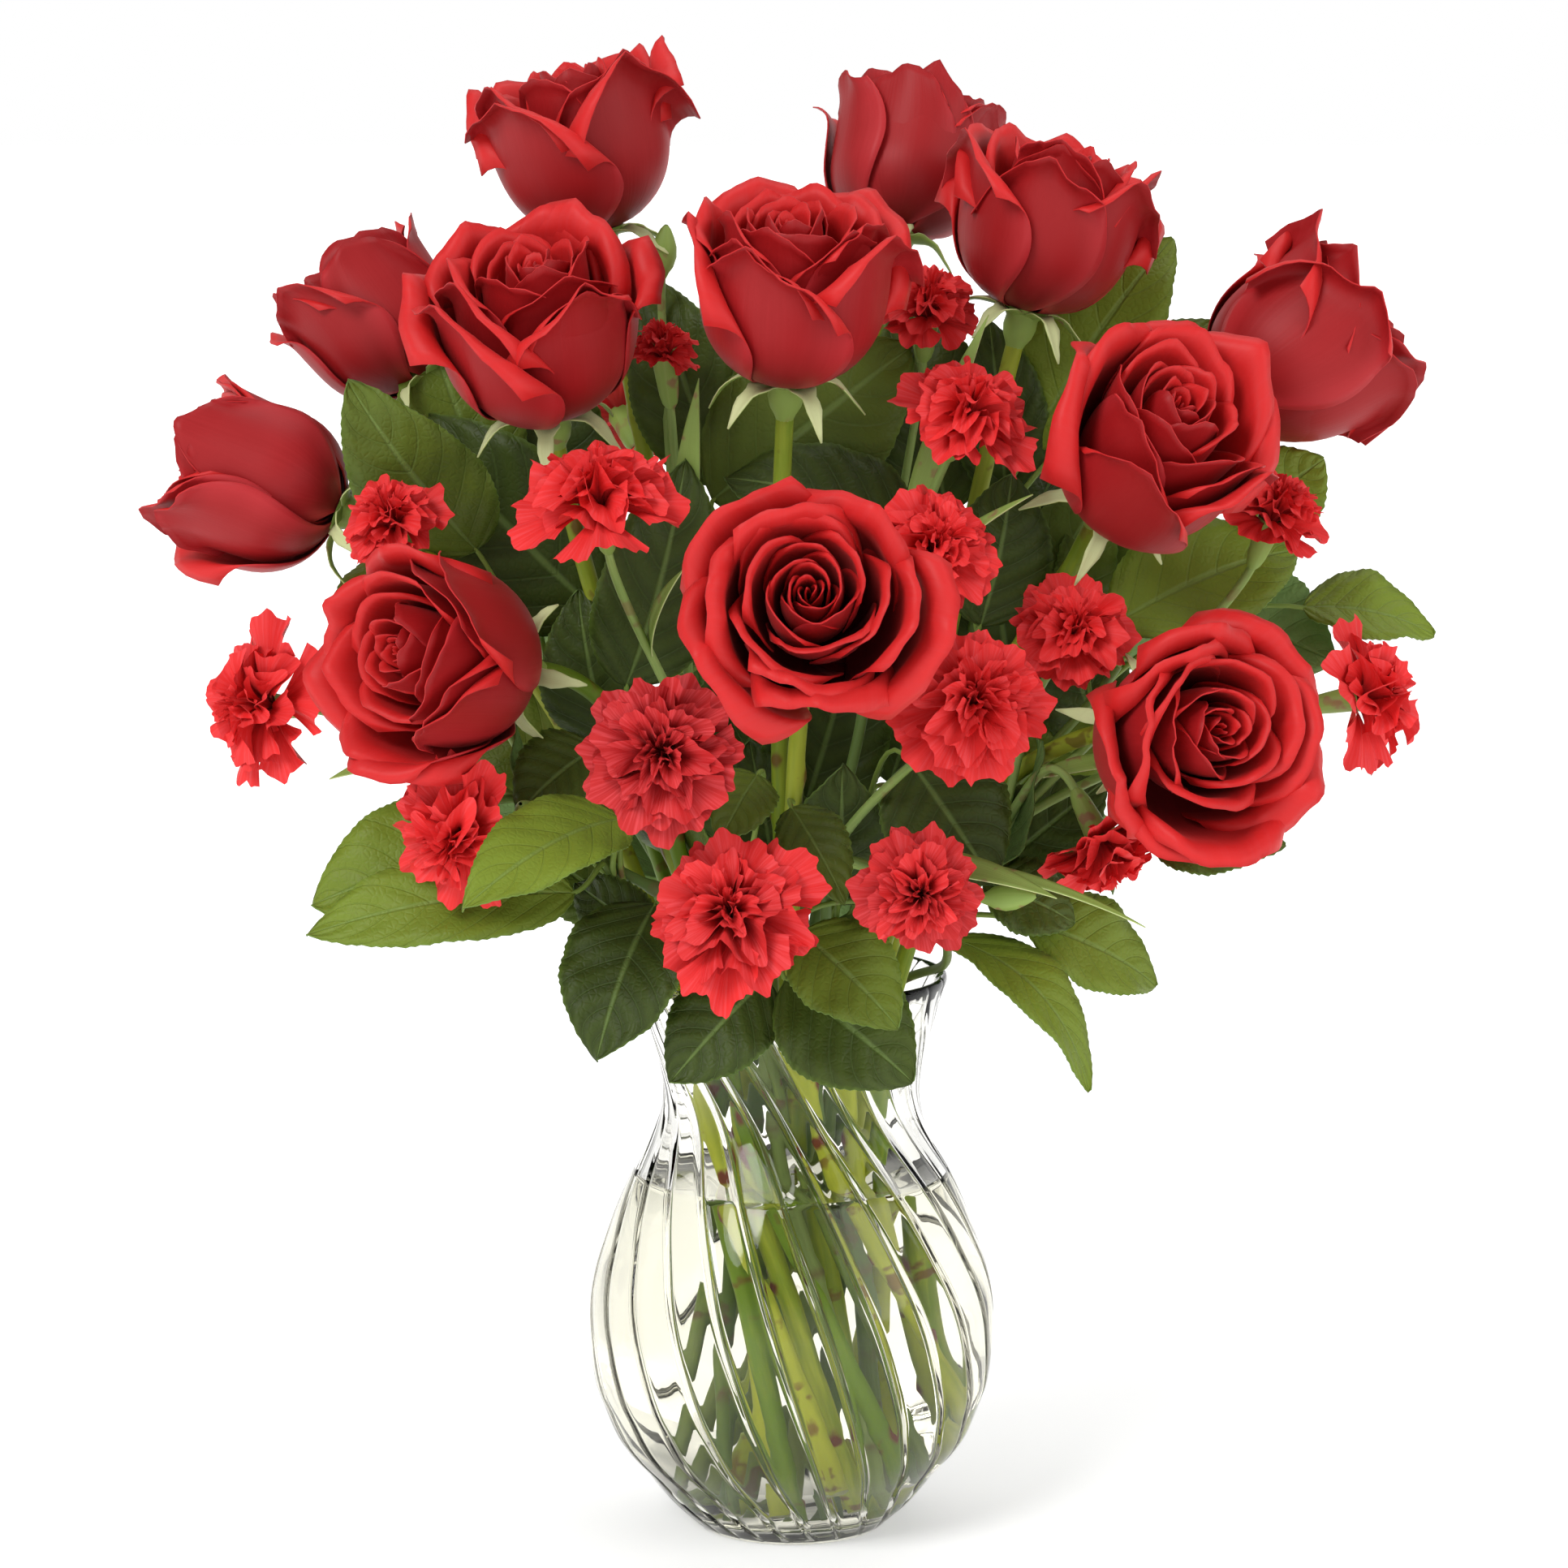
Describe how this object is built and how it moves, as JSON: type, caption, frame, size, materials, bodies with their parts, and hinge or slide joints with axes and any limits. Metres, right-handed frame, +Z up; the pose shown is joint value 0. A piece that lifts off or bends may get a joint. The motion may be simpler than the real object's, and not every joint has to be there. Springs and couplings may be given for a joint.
{
  "type": "flower bouquet in a glass vase",
  "caption": "Red roses, fringed red carnations and broad glossy leaves, their stems standing in water in a clear glass vase with swirled flutes.",
  "frame": {"origin": "centre of the vase's flat foot, on the surface it stands on", "axes": "+Z up along the vase, +X to the bouquet's right and -Y towards the front, as the picture shows it"},
  "size_m": [0.4233, 0.2769, 0.4949],
  "materials": {
    "glass": "gloss",
    "water": "gloss",
    "rose_petal": "satin",
    "carnation_petal": "matte",
    "stem": "satin",
    "leaf": "satin"
  },
  "bodies": {
    "root": {"vase": "glass", "water": "water", "rose_01": "rose_petal", "rose_02": "rose_petal", "rose_03": "rose_petal", "rose_04": "rose_petal", "rose_05": "rose_petal", "rose_06": "rose_petal", "rose_07": "rose_petal", "rose_08": "rose_petal", "rose_09": "rose_petal", "rose_10": "rose_petal", "rose_11": "rose_petal", "rose_12": "rose_petal", "carnation_01": "carnation_petal", "carnation_02": "carnation_petal", "carnation_03": "carnation_petal", "carnation_04": "carnation_petal", "carnation_05": "carnation_petal", "carnation_06": "carnation_petal", "carnation_07": "carnation_petal", "carnation_08": "carnation_petal", "carnation_09": "carnation_petal", "carnation_10": "carnation_petal", "carnation_11": "carnation_petal", "carnation_12": "carnation_petal", "carnation_13": "carnation_petal", "carnation_14": "carnation_petal", "carnation_15": "carnation_petal", "carnation_16": "carnation_petal", "carnation_17": "carnation_petal", "carnation_18": "carnation_petal", "rose_stem_01": "stem", "rose_stem_02": "stem", "rose_stem_03": "stem", "rose_stem_04": "stem", "rose_stem_05": "stem", "rose_stem_06": "stem", "rose_stem_07": "stem", "rose_stem_08": "stem", "rose_stem_09": "stem", "rose_stem_10": "stem", "rose_stem_11": "stem", "rose_stem_12": "stem", "carnation_stem_a": "stem", "carnation_stem_b": "stem", "carnation_stem_c": "stem", "carnation_stem_d": "stem", "carnation_stem_e": "stem", "carnation_stem_f": "stem", "greens_01": "leaf", "greens_02": "leaf", "greens_03": "leaf", "greens_04": "leaf", "greens_05": "leaf", "greens_06": "leaf", "greens_07": "leaf", "greens_08": "leaf", "greens_09": "leaf", "greens_10": "leaf"}
  },
  "joints": []
}
